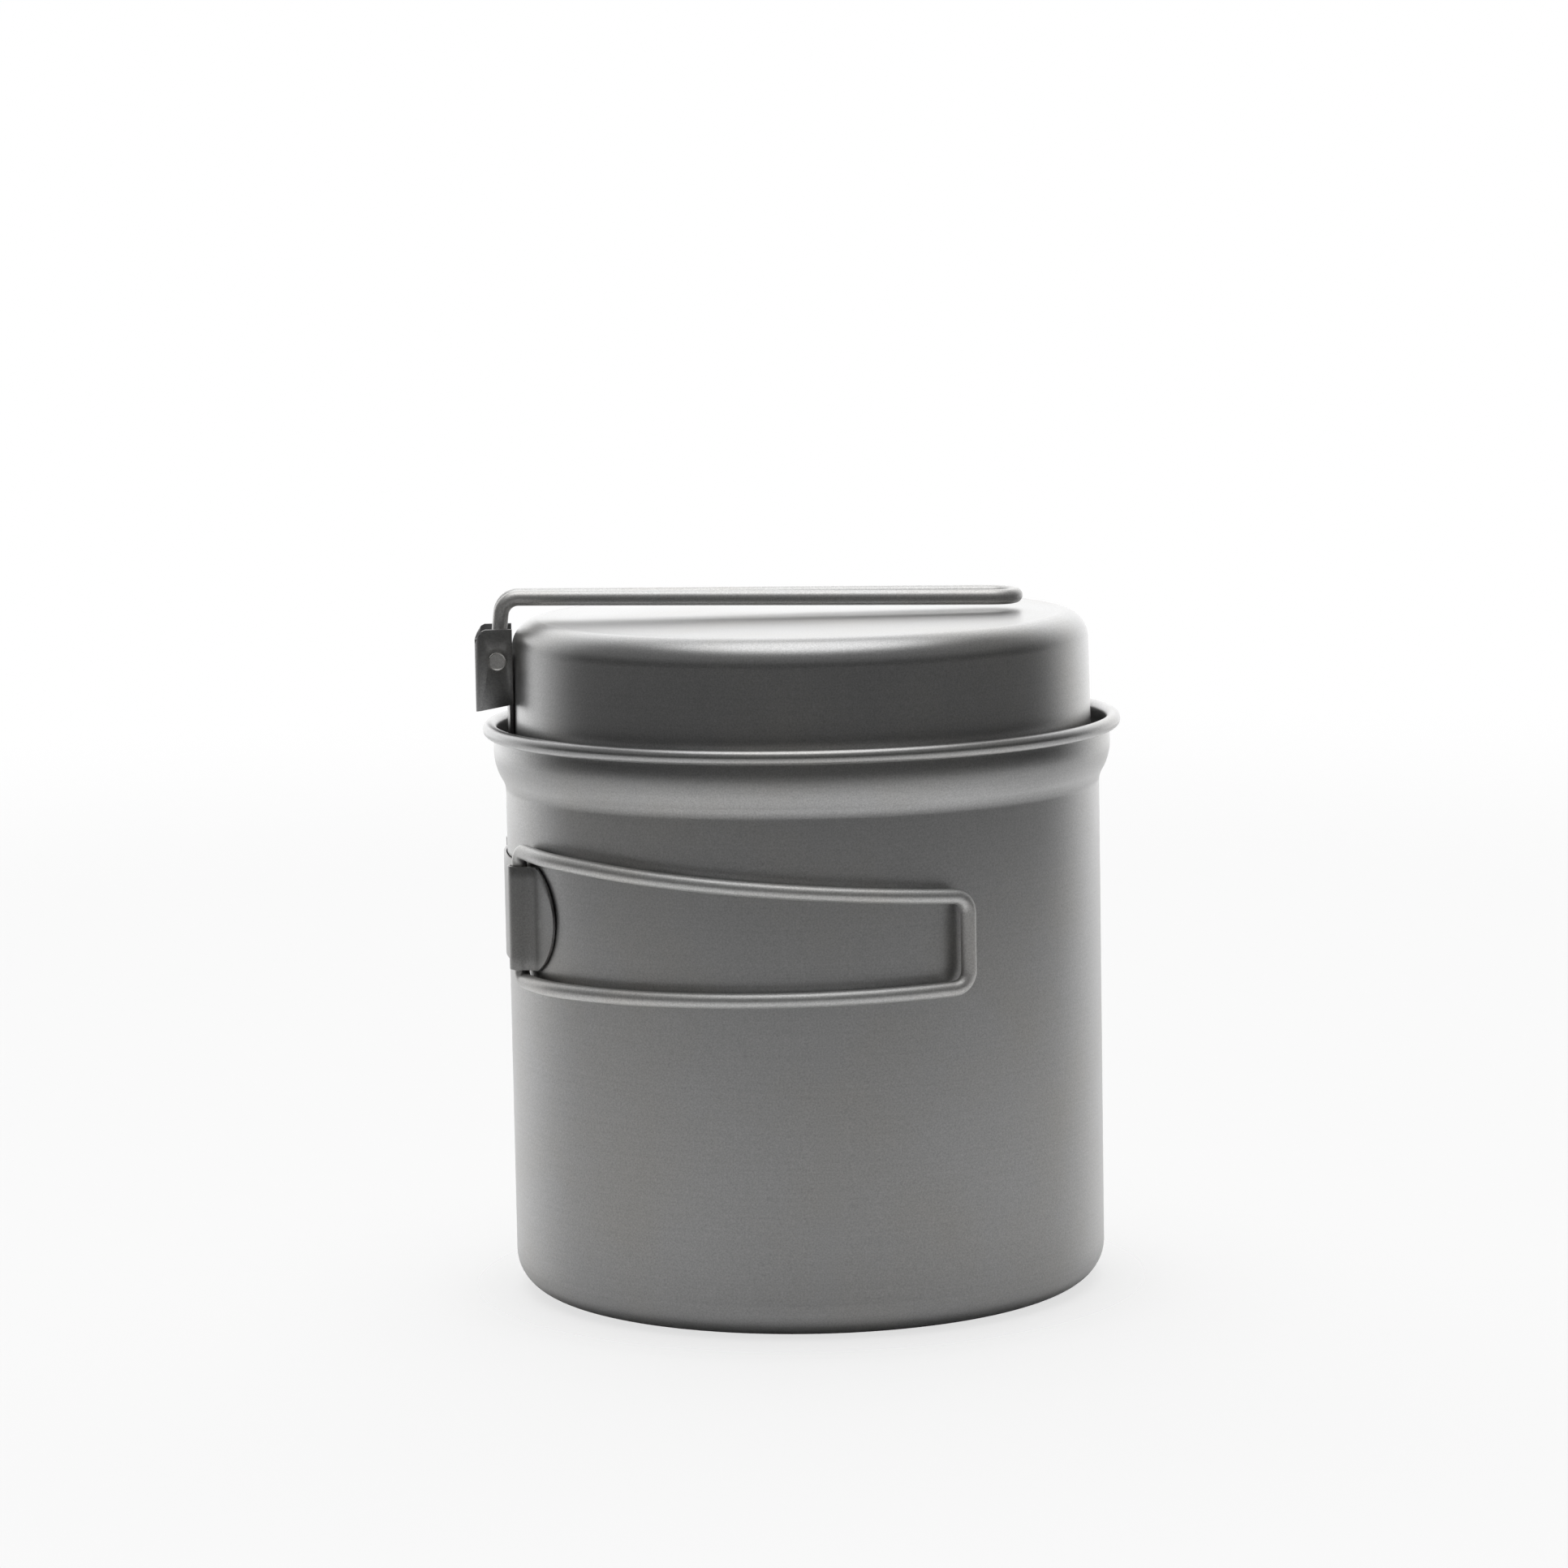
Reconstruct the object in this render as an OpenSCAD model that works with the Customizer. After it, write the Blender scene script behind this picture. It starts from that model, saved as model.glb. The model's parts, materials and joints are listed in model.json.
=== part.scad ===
// Titanium cooking pot set: a deep pot with two folding side handles, and a shallow pan that
// stands upside down in the pot's neck as its lid, with one handle folded over the pan's base.
// Millimetres. Origin on the pot's axis, at the underside of its base; +Z up.
// Both handle brackets point towards -X. The front handle lies on the -Y side.

/* [Pot] */
// Outside radius of the pot's straight wall
pot_r = 57; // [52:0.5:62]
// Height of the rim's top above the base
pot_h = 109.8; // [100:0.2:125]
// Sheet thickness of the pot and of the pan
sheet = 0.45; // [0.3:0.05:0.7]
// Outside radius of the rounded edge between base and wall
base_round = 7.2; // [4:0.2:10]
// How far the neck stands out from the wall
neck_step = 2.15; // [1.5:0.05:3]
// Height of the shoulder's lower end
shoulder_z = 96.6; // [90:0.1:98]
// Height of the curved shoulder
shoulder_h = 7.8; // [7:0.1:9]
// Radius of the shoulder's lower, hollow bend
shoulder_r = 4.6; // [3:0.2:7]
// How far the neck draws in again below the rim
neck_in = 0.25; // [0.1:0.05:0.4]
// Radius of the rim's rolled bead
bead_r = 1.35; // [1.1:0.05:1.5]

/* [Pan] */
// Outside radius of the pan's wall at its rim
pan_r = 55.6; // [54:0.1:56]
// How much narrower the pan is at its base
pan_taper = 0.4; // [0:0.1:1]
// Height of the upturned pan's base when it stands in the pot
pan_top_z = 129.3; // [125:0.1:135]
// Outside radius of the pan's rounded base edge
pan_round = 5.3; // [4:0.1:7]
// Radius of the pan's rolled bead
pan_bead_r = 1.2; // [1:0.05:1.25]
// Height of the middle of the pan's bead, just clear of the shoulder that carries it
pan_bead_z = 100.6; // [100.5:0.1:104]

/* [Handles] */
// Diameter of the handle wire
wire_d = 2.9; // [2.5:0.1:3.2]
// Radial play of a wire end in its bore
play = 0.07; // [0.03:0.01:0.1]
// Thickness of the bracket sheet
bracket_t = 0.7; // [0.5:0.05:0.9]
// Angle from the bracket's middle to each pot handle's hinge
hinge_angle = 20.8; // [19:0.1:24]
// Length of a pot handle along the wall, from hinge to end bar
loop_run = 100.1; // [80:0.1:110]
// Height of a pot handle's upper rail at the hinge, and at its end bar
rail_top = [87.6, 81.5];
// Height of a pot handle's lower rail at the hinge, and at its end bar
rail_low = [62.95, 64.7];
// Lower and upper end of the bracket's knuckles
knuckle_z = [65.2, 84.8];

/* [Pan handle] */
// Place of the pan handle's hinge axis: distance outwards from the axis, and height
pan_pin = [58.1, 122.15];
// Lean of the legs from upright
leg_lean = 6.5; // [4:0.5:9]
// Height of the loop over the pan's edge
loop_z = 133.7; // [133:0.1:136]
// Fall of the loop from its bend to its end, in degrees
loop_fall = 1.05; // [0.5:0.05:1.2]
// Reach of the loop's middle line beyond the pan's axis
loop_reach = 41.5; // [30:0.5:46]
// Half the spacing of the wires at the legs, and at the loop's round end
loop_half = [2.7, 5.25];
// Outside width of the bracket channel
channel_w = 14; // [13:0.1:16]
// Lower and upper end of the bracket channel
channel_z = [112.5, 128.1];
// Depth of the channel from the pan's wall to its outer face
channel_d = 7.1; // [6.5:0.1:8]
// How far each lip reaches in from the channel's side
lip = 2.35; // [1.7:0.05:2.5]

/* [Hidden] */
$fn = 96;

wire_r = wire_d / 2;
bore_r = wire_r + play;
bead_z = pot_h - bead_r;
// Gap between a folded handle's wire and the pot's wall at the hinge, and along the loop
hinge_gap = 0.3;
loop_gap = 1.6;
hinge_r = pot_r + hinge_gap + wire_r;
loop_r = pot_r + loop_gap + wire_r;
hinge = [-hinge_r * cos(hinge_angle), -hinge_r * sin(hinge_angle)];
// Share of the loop's run over which it leaves the wall
lift_share = 0.16;
// Share of the loop's run over which the upper rail starts to fall
fall_share = 0.3;
// Middle-line radii of the wire's bends
bend_top = 2.6;
bend_low = 2.1;
bend_bar = 3.2;
bend_leg = 3.3;
bend_pin = 2.5;
// Length of wire end held in a knuckle
pin_in = 7.5;
// How far a swept wire runs on inside its straight end, and the slimmer size of its last ring
pin_lap = 0.5;
pin_ring = 0.85;
// Straight run kept free for the bends at each end of the rails
bend_room = 5;
// How far the pan handle's wire ends stand out of the channel
pin_out = 1.5;
// Radius of the knuckle's sweep down to the wing, on its outside
sweep_r = 2.9;
// Width of a wing past its knuckle, and the radius of its rounded outline
wing_w = 6.3;
wing_round = 10.8;
// Gap between a welded bracket and the wall behind it, and how far a cut reaches past its metal
weld_gap = 0.02;
past = 1;
// How far round the rolled beads are turned
curl_turn = 292;
// Sides of a wire's section, and steps in each curl, each bend, each rail and each plate
WIRE_SIDES = 12;
CURL_STEPS = 14;
BEND_STEPS = 5;
RAIL_STEPS = 13;
PLATE_STEPS = 9;
WING_STEPS = 6;
SPREAD_STEPS = 6;
// A polygon with the wire's cross-section area has a slightly larger radius
side_r = wire_r * sqrt(PI / (WIRE_SIDES / 2 * sin(360 / WIRE_SIDES)));

titanium = "#7d7d7c";
wire_tone = "#8b8a88";
bracket_tone = "#6a6a6a";

// Points of an arc about c, from angle a0 to angle a1
function arc(c, r, a0, a1, steps = 8) =
    [for (i = [0:steps]) c + r * [cos(a0 + (a1 - a0) * i / steps), sin(a0 + (a1 - a0) * i / steps)]];
function reversed(list) = [for (i = [len(list) - 1:-1:0]) list[i]];
function unit(v) = v / norm(v);

// ---- sheet shells -------------------------------------------------------------------------

// Section line of the pot's outside, moved inwards by t, from the axis to the rolled rim
function pot_line(t) = concat(
    [[0, t]],
    arc([pot_r - base_round, base_round], base_round - t, -90, 0),
    shoulder_line(t),
    curl(pot_r + neck_step - neck_in - t, bead_z, bead_r - sheet + t, 1));

// The shoulder, a tight hollow bend and a wide round one, moved inwards by t. The round bend
// carries on into the neck, which draws in below the rim.
function shoulder_line(t) =
    let (both = (shoulder_h * shoulder_h + neck_step * neck_step) / (2 * neck_step),
        round_r = both - shoulder_r,
        slope = asin(shoulder_h / both),
        lean = acos(1 - neck_in / round_r))
    concat(arc([pot_r + shoulder_r, shoulder_z], shoulder_r + t, 180, 180 - slope, 7),
        arc([pot_r + neck_step - round_r, shoulder_z + shoulder_h], round_r - t, -slope, lean, 12));

// The rolled bead's section line: an open curl that carries on the wall's line at x and turns
// outwards. side is +1 for an edge that points up, -1 for one that points down.
function curl(x, z, r, side) = arc([x + r, z], r, 180, 180 - side * curl_turn, CURL_STEPS);

module pot_body() {
    color(titanium)
        rotate_extrude()
            polygon(concat(pot_line(0), reversed(pot_line(sheet))));
}

// Section line of the upturned pan's outside, moved inwards by t
function pan_line(t) = concat(
    [[0, pan_top_z - t]],
    arc([pan_r - pan_taper - pan_round, pan_top_z - pan_round], pan_round - t, 90, 0),
    curl(pan_r - t, pan_bead_z, pan_bead_r - sheet + t, -1));

module pan_body() {
    color(titanium)
        rotate_extrude()
            polygon(concat(pan_line(0), reversed(pan_line(sheet))));
}

// ---- wire ---------------------------------------------------------------------------------

// Replaces the corner at b, between a and c, by an arc of radius r
function bend(a, b, c, r) =
    let (u = unit(a - b), v = unit(c - b), turn = 180 - acos(u * v), cut = r * tan(turn / 2),
        middle = b + unit(u + v) * r / cos(turn / 2), e = unit(b + u * cut - middle),
        f = unit((b + v * cut - middle) - e * (e * (b + v * cut - middle))))
    [for (i = [0:BEND_STEPS])
        let (a = turn * i / BEND_STEPS)
        middle + r * (e * cos(a) + f * sin(a))];

// A path through points, each a [point, bend radius] pair; radius 0 keeps the point
function bent_path(pts) = concat(
    [pts[0][0]],
    [for (i = [1:len(pts) - 2])
        each pts[i][1] > 0 ? bend(pts[i - 1][0], pts[i][0], pts[i + 1][0], pts[i][1]) : [pts[i][0]]],
    [pts[len(pts) - 1][0]]);

function tangent(path, i) =
    unit(path[min(i + 1, len(path) - 1)] - path[max(i - 1, 0)]);

// Carries a cross direction along the path without twist
function carried(path, n, i = 0, out = []) =
    i == len(path) ? out :
    let (t = tangent(path, i), m = unit(n - t * (n * t)))
    carried(path, m, i + 1, concat(out, [m]));

// A round wire along a path; its first and last rings are slimmer, to sit inside a pin
module wire(path, start_normal) {
    normals = carried(path, start_normal);
    last = len(path) - 1;
    rings = [for (i = [0:last])
        let (n = normals[i],
            b = cross(tangent(path, i), n),
            r = (i == 0 || i == last) ? pin_ring * wire_r : side_r)
        for (a = [0:360 / WIRE_SIDES:359])
            path[i] + r * (n * cos(a) + b * sin(a))];
    skin = [for (i = [0:last - 1]) for (k = [0:WIRE_SIDES - 1])
        let (q = (k + 1) % WIRE_SIDES)
        [i * WIRE_SIDES + k, (i + 1) * WIRE_SIDES + k, (i + 1) * WIRE_SIDES + q, i * WIRE_SIDES + q]];
    first_cap = [for (k = [0:WIRE_SIDES - 1]) k];
    last_cap = [for (k = [WIRE_SIDES - 1:-1:0]) last * WIRE_SIDES + k];
    polyhedron(rings, concat(skin, [first_cap, last_cap]));
}

// ---- pot handles --------------------------------------------------------------------------

// Distance from the pot's axis after a run s along the wall
function run_r(s) =
    hinge_r + (loop_r - hinge_r) * (1 - cos(180 * min(max(s / loop_run / lift_share, 0), 1))) / 2;
function on_wall(p) =
    let (a = hinge_angle + p[0] / loop_r * 180 / PI, r = run_r(p[0]))
    [-r * cos(a), -r * sin(a), p[1]];

// The upper rail runs level at first, then falls evenly to the end bar
function upper_z(u) =
    let (drop = (rail_top[0] - rail_top[1]) / (1 - fall_share / 2))
    rail_top[0] - (u < fall_share ? drop * u * u / 2 / fall_share : drop * (u - fall_share / 2));
function lower_z(u) = rail_low[0] + (rail_low[1] - rail_low[0]) * u;

// Middle line of the pot handle, unrolled: run along the wall, height
function loop_corners() =
    let (edge = bend_room / loop_run,
        shares = [for (i = [0:RAIL_STEPS]) edge + (1 - 2 * edge) * i / RAIL_STEPS])
    concat(
        [[[0, knuckle_z[1] - pin_lap], 0], [[0, upper_z(0)], bend_top]],
        [for (u = shares) [[u * loop_run, upper_z(u)], 0]],
        [[[loop_run, upper_z(1)], bend_bar], [[loop_run, lower_z(1)], bend_bar]],
        [for (u = reversed(shares)) [[u * loop_run, lower_z(u)], 0]],
        [[[0, lower_z(0)], bend_low], [[0, knuckle_z[0] + pin_lap], 0]]);

module pot_handle() {
    wire([for (p = bent_path(loop_corners())) on_wall(p)], unit([hinge[0], hinge[1], 0]));
    for (z = [knuckle_z[0], knuckle_z[1] - pin_in])
        translate([hinge[0], hinge[1], z])
            cylinder(h = pin_in, r = wire_r);
}

module front_handle() {
    color(wire_tone)
        pot_handle();
}

module rear_handle() {
    color(wire_tone)
        mirror([0, 1, 0])
            pot_handle();
}

// ---- pot handle bracket -------------------------------------------------------------------

// Where the knuckle's sweep meets the wing, along the wall from the hinge
sweep_reach = sqrt(pow(bore_r + bracket_t + sweep_r, 2) - pow(bracket_t + sweep_r - hinge_gap - wire_r, 2));
// Run along the wall from the bracket's middle to a hinge
hinge_run = hinge_angle * PI / 180 * pot_r;

// Half of the strip's section in a flat layout, outside moved in by t: run along the wall
// from the hinge, height over the wall. The knuckle arches over the wire and sweeps down.
function knuckle_half(t) =
    let (h = hinge_gap + wire_r, c = bracket_t + sweep_r, a = atan2(c - h, sweep_reach))
    concat(arc([0, h], bore_r + bracket_t - t, 90, a, 6),
        arc([sweep_reach, c], sweep_r + t, 180 + a, 270, 6));

// The strip's section from the bracket's middle to the wing's end, wrapped on the wall
function strip_line(t) =
    let (half = knuckle_half(t),
        plate = [for (k = [0:PLATE_STEPS - 1])
            [-hinge_run + k * (hinge_run - sweep_reach) / PLATE_STEPS, bracket_t - t]],
        inward = [for (i = [len(half) - 1:-1:1]) [-half[i][0], half[i][1]]],
        wing = [for (k = [1:WING_STEPS]) [sweep_reach + k * wing_w / WING_STEPS, bracket_t - t]])
    [for (p = concat(plate, inward, half, wing))
        let (a = hinge_angle + p[0] / pot_r * 180 / PI, r = pot_r + weld_gap + p[1])
        [-r * cos(a), -r * sin(a)]];

// Front half of the bracket: plate, knuckle and D-shaped wing; the rear half mirrors it
module strip_half() {
    high = knuckle_z[1] - knuckle_z[0];
    wing_a = hinge_angle + (sweep_reach + wing_w - wing_round) / pot_r * 180 / PI;
    wing_edge = pot_r * sin(hinge_angle + sweep_reach / pot_r * 180 / PI);
    difference() {
        intersection() {
            translate([0, 0, knuckle_z[0]])
                linear_extrude(high)
                    polygon(concat(strip_line(0), reversed(strip_line(bracket_t))));
            union() {
                translate([0, 0, (knuckle_z[0] + knuckle_z[1]) / 2])
                    rotate([0, -90, wing_a])
                        cylinder(h = 2 * pot_r, r = wing_round);
                translate([-2 * pot_r, -wing_edge, knuckle_z[0] - past])
                    cube([2 * pot_r, 2 * wing_edge, high + 2 * past]);
            }
        }
        translate([hinge[0], hinge[1], knuckle_z[0] - past])
            cylinder(h = high + 2 * past, r = bore_r);
    }
}

module pot_handle_bracket() {
    color(bracket_tone)
        union() {
            strip_half();
            mirror([0, 1, 0])
                strip_half();
        }
}

// ---- pan handle ---------------------------------------------------------------------------

// Corner where the legs' line meets the loop's line, as distance outwards and height
bend_corner = [pan_pin[0] - (loop_z - pan_pin[1]) * tan(leg_lean), loop_z];
function loop_drop(x) = loop_z - (x + bend_corner[0]) * tan(loop_fall);

// Middle line of one half of the pan handle, from its pin to the loop's round end
function pan_handle_half() =
    let (narrow = loop_half[0], wide = loop_half[1], end_x = loop_reach - wide,
        rail = [for (i = [1:SPREAD_STEPS - 1])
            let (u = i / SPREAD_STEPS, x = -bend_corner[0] + u * (end_x + bend_corner[0]))
            [x, -narrow - (wide - narrow) * u * u * (3 - 2 * u)]],
        round_end = arc([end_x, 0], wide, -90, -15, 5))
    concat([[[-pan_pin[0], pin_lap + bracket_t - channel_w / 2, pan_pin[1]], 0],
            [[-pan_pin[0], -narrow, pan_pin[1]], bend_pin],
            [[-bend_corner[0], -narrow, loop_z], bend_leg]],
        [for (p = concat(rail, round_end)) [[p[0], p[1], loop_drop(p[0])], 0]]);

module pan_handle() {
    half = pan_handle_half();
    tip = [[[loop_reach, 0, loop_drop(loop_reach)], 0]];
    other = [for (p = reversed(half)) [[p[0][0], -p[0][1], p[0][2]], p[1]]];
    color(wire_tone)
        union() {
            wire(bent_path(concat(half, tip, other)), [0, 0, 1]);
            for (side = [-1, 1])
                translate([-pan_pin[0], side * (channel_w / 2 + pin_out), pan_pin[1]])
                    rotate([side * 90, 0, 0])
                        cylinder(h = bracket_t + pin_out + 2 * pin_lap, r = wire_r);
        }
}

// ---- pan handle bracket -------------------------------------------------------------------

// The channel's outer face, and the radius that clears the pan's wall behind it
channel_front = pan_r - pan_taper + channel_d;
back_r = pan_r + weld_gap;
// Thickness of the back plate, and its lower and upper end; it reaches down into the pot's neck
back_t = 0.5;
back_z = [104, 125.5];
// Outside radius of the lips' bends
lip_bend = 1.2;
// Rise of the channel's lower edge towards the pan, in degrees
lower_rise = 10;
// The sides' slanted upper corner: steps inwards and down from the outer face and the top
corner_steps = [[0, 2.8], [0.5, 1.6], [1.3, 0.35], [2, 0]];

// Section of the channel seen from above: two sides with a lip each
module channel_section() {
    inner_w = channel_w - 2 * bracket_t;
    mouth_w = channel_w - 2 * lip;
    difference() {
        translate([-channel_front, -channel_w / 2])
            square([channel_front, channel_w]);
        translate([-channel_front + bracket_t, -inner_w / 2])
            square([channel_front, inner_w]);
        translate([-channel_front - past, -mouth_w / 2])
            square([bracket_t + 2 * past, mouth_w]);
        for (side = [-1, 1])
            scale([1, side])
                translate([-channel_front, -channel_w / 2])
                    lip_waste();
    }
}

// The waste outside a lip's round bend
module lip_waste() {
    difference() {
        translate([-past, -past])
            square(lip_bend + past);
        translate([lip_bend, lip_bend])
            circle(lip_bend);
    }
}

// The channel's back plate, which follows the pan's wall between the two sides
module back_section() {
    intersection() {
        circle(pan_r + back_t);
        translate([-channel_front, -channel_w / 2 + bracket_t / 2])
            square([channel_front, channel_w - bracket_t]);
    }
}

// Outline of the sides, seen from the front
module side_outline() {
    rise = channel_d * 2 * tan(lower_rise);
    polygon(concat(
        [[-channel_front + 2 * channel_d, channel_z[1]],
            [-channel_front + 2 * channel_d, channel_z[0] + rise],
            [-channel_front, channel_z[0]]],
        [for (p = corner_steps) [-channel_front + p[0], channel_z[1] - p[1]]]));
}

module pan_handle_bracket() {
    color(bracket_tone)
        difference() {
            union() {
                intersection() {
                    translate([0, 0, channel_z[0]])
                        linear_extrude(channel_z[1] - channel_z[0])
                            channel_section();
                    rotate([90, 0, 0])
                        translate([0, 0, -channel_w])
                            linear_extrude(2 * channel_w)
                                side_outline();
                }
                translate([0, 0, back_z[0]])
                    linear_extrude(back_z[1] - back_z[0])
                        back_section();
            }
            // room for the pan's own wall
            translate([0, 0, back_z[0] - past])
                cylinder(h = channel_z[1] - back_z[0] + 2 * past, r = back_r);
            // bore for the handle's wire ends
            translate([-pan_pin[0], 0, pan_pin[1]])
                rotate([90, 0, 0])
                    cylinder(h = channel_w + 2 * past, r = bore_r, center = true);
        }
}

pot_body();
pot_handle_bracket();
front_handle();
rear_handle();
pan_body();
pan_handle_bracket();
pan_handle();
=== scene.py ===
import json
import math

import bpy
from mathutils import Matrix, Vector


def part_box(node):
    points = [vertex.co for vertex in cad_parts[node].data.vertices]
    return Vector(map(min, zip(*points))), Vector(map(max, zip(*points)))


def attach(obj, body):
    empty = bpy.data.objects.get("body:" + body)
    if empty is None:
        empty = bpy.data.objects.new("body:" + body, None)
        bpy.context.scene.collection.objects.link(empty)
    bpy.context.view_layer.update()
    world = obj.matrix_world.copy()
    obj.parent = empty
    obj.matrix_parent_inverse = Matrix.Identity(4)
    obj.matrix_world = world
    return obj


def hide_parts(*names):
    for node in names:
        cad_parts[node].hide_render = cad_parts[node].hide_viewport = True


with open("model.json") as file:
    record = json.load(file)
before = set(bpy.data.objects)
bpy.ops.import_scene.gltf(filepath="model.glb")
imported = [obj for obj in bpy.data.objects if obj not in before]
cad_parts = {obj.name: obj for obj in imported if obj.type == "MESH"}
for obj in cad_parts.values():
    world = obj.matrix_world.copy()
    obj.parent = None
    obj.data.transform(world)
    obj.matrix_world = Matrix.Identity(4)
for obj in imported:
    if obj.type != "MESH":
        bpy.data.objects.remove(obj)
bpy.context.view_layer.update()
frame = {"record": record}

# A titanium cooking pot set: a deep pot with two folding wire handles, and a shallow pan that
# stands upside down in the pot's neck, with one wire handle folded over the pan's base.
# Metres, in the frame's own axes: +Z up on the pot's axis, both brackets towards -X.

MM = 0.001

# ---- sizes ----------------------------------------------------------------------------------

# The frame's own places: two hinge lines, and the boxes of the nodes that the pieces replace
JOINTS = {joint["name"]: joint for joint in frame["record"]["behaviour"]["joints"]}
HINGE = Vector(JOINTS["front_handle_swing"]["pos_m"])
PAN_PIN = Vector(JOINTS["pan_handle_fold"]["pos_m"])
POT_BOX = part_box("pot_body")
PAN_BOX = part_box("pan_body")
LOOP_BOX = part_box("front_handle")
PAN_LOOP_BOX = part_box("pan_handle")
KNUCKLE_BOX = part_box("pot_handle_bracket")
CHANNEL_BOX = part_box("pan_handle_bracket")

# Sheet and wire
SHEET = 0.45 * MM               # both shells
WIRE_R = 1.45 * MM              # all three handles
BRACKET_SHEET = 0.7 * MM        # pan's bracket; the face of the pot's strip stands this far off the wall
STRIP_SHEET = 0.5 * MM          # pot's strip, under that face
BORE_PLAY = 0.07 * MM           # round a wire in its knuckle

# Pot: rounded base edge, straight wall, shoulder, neck and rolled rim
HINGE_GAP = 0.3 * MM            # wall to the wire in its knuckle
HINGE_ANGLE = math.atan2(-HINGE.y, -HINGE.x)    # from the brackets' middle line
WALL_R = math.hypot(HINGE.x, HINGE.y) - HINGE_GAP - WIRE_R
BASE_ROUND = 7.2 * MM
SHOULDER_R = 4.6 * MM           # hollow bend at the top of the wall
SHOULDER_H = 7.8 * MM           # from there to the neck's widest place
NECK_STEP = 2.15 * MM           # how far that place stands out from the wall
NECK_DROP = 5.4 * MM            # rim to the neck's widest place
NECK_IN = 0.25 * MM             # how much the neck draws in again below its bead
BEAD_R = 1.35 * MM              # outside of the rolled edge
CURL_TURN = 292                 # degrees that the edge is rolled, on the pan too
RIM_Z = POT_BOX[1][2]
NECK_Z = RIM_Z - NECK_DROP

# Pan, upside down: its base is on top
PIN_FROM_WALL = 2.5 * MM        # wall to the handle's hinge line
PAN_R = -PAN_PIN.x - PIN_FROM_WALL
PAN_TAPER = 0.4 * MM            # how much less the radius is at the base
PAN_ROUND = 5.3 * MM            # corner between base and wall
PAN_BEAD_R = 1.2 * MM
CREASE_W = 0.5 * MM             # crease in the base where the corner starts: half its width, and its depth
CREASE_D = 0.05 * MM
PAN_TOP = PAN_BOX[1][2]
PAN_RIM_Z = PAN_BOX[0][2]
SHELL_MIDDLE = Vector((0, 0, (RIM_Z + PAN_TOP) / 4))    # both shells face away from this point

# Pot handles: an upper and a lower rail along the wall, joined by a bar at the far end
LOOP_GAP = 1.6 * MM             # wall to the rails
LOOP_R = WALL_R + LOOP_GAP + WIRE_R
LOOP_RUN = 100.1 * MM           # hinge line to bar, along the wall
UPPER_FALL = 6.1 * MM           # how much lower the upper rail is at the bar
LOWER_RISE = 1.75 * MM          # how much higher the lower rail is there
UPPER_NEAR = LOOP_BOX[1][2] - WIRE_R
UPPER_FAR = UPPER_NEAR - UPPER_FALL
LOWER_NEAR = LOOP_BOX[0][2] + WIRE_R
LOWER_FAR = LOWER_NEAR + LOWER_RISE
LIFT_SHARE = 0.16               # share of the run in which the rails move off the wall
FALL_SHARE = 0.3                # share of the run in which the upper rail turns downwards
BEND_TOP = 2.6 * MM             # bends of the middle line: above and below the knuckle, and at the bar
BEND_LOW = 2.1 * MM
BEND_BAR = 3.2 * MM
BEND_ROOM = 5.0 * MM            # run left to those bends at each end
PIN_IN = 7.5 * MM               # how far the wire's ends reach into the knuckle

# Bracket of the pot handles
KNUCKLE_LOW = KNUCKLE_BOX[0][2]
KNUCKLE_HIGH = KNUCKLE_BOX[1][2]
KNUCKLE_R = WIRE_R + BORE_PLAY + BRACKET_SHEET
SWEEP_R = 2.9 * MM              # hollow bend between a knuckle and the flat sheet beside it
# From the hinge line to the centre of that bend: off the wall, and along it
SWEEP_LIFT = BRACKET_SHEET + SWEEP_R - HINGE_GAP - WIRE_R
SWEEP_REACH = math.sqrt((KNUCKLE_R + SWEEP_R) ** 2 - SWEEP_LIFT ** 2)
WING_W = 6.3 * MM               # from the sweep to the wing's tip
WING_ROUND = 10.8 * MM          # radius of its end
WING_LAST = math.radians(89.1)  # last line across that end, just short of the tip
WELD_RUN = 1.3 * MM             # sweep to the middle of the weld mark
WELD_Z = 74.3 * MM
WELD_R = 0.75 * MM              # weld mark, and where it has faded out
WELD_END = 0.9 * MM
WELD_TONE = 1.16                # how much lighter it is

# Pan handle: two legs up from the pins, and a narrow loop over the base
LEG_LEAN = math.radians(6.5)
LOOP_FALL = math.radians(1.05)  # towards the loop's tip
LEG_OVER = 0.03 * MM            # how far the middle line's corner is above its bend
PAN_LOOP_Z = PAN_LOOP_BOX[1][2] - WIRE_R + LEG_OVER
PAN_LOOP_REACH = PAN_LOOP_BOX[1][0] - WIRE_R
PAN_LOOP_NARROW = 2.7 * MM      # half the loop's width at the legs
PAN_LOOP_WIDE = 5.25 * MM       # and at the tip, which is a half circle
BEND_LEG = 3.3 * MM             # bends of the middle line: leg to loop, and leg to pin
BEND_PIN = 2.5 * MM
PIN_OUT = 1.5 * MM              # how far a pin stands out of the channel's side
BURR = 1.14                     # how much wider the sheared end is than the wire
BURR_W = 0.24 * MM              # the burr's own width, and how far the face is sunk in it
BURR_D = 0.3 * MM

# Bracket of the pan handle: a lipped channel on a plate
CHANNEL_FRONT = -CHANNEL_BOX[0][0]
CHANNEL_HALF = CHANNEL_BOX[1][1]
CHANNEL_TOP = CHANNEL_BOX[1][2]
CHANNEL_H = 15.6 * MM           # at its front
CHANNEL_LOW = CHANNEL_TOP - CHANNEL_H
CHANNEL_RISE = math.radians(10)  # of its lower edge, towards the wall
LIP = 2.35 * MM                 # the lip's width, from the channel's side
# The lip's bend: steps inwards from the channel's front face and from its side
LIP_BEND = [(0, 1.3 * MM), (0.06 * MM, 1.02 * MM), (0.2 * MM, 0.8 * MM), (0.74 * MM, 0.16 * MM),
            (0.9 * MM, 0.05 * MM), (1.15 * MM, 0)]
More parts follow.
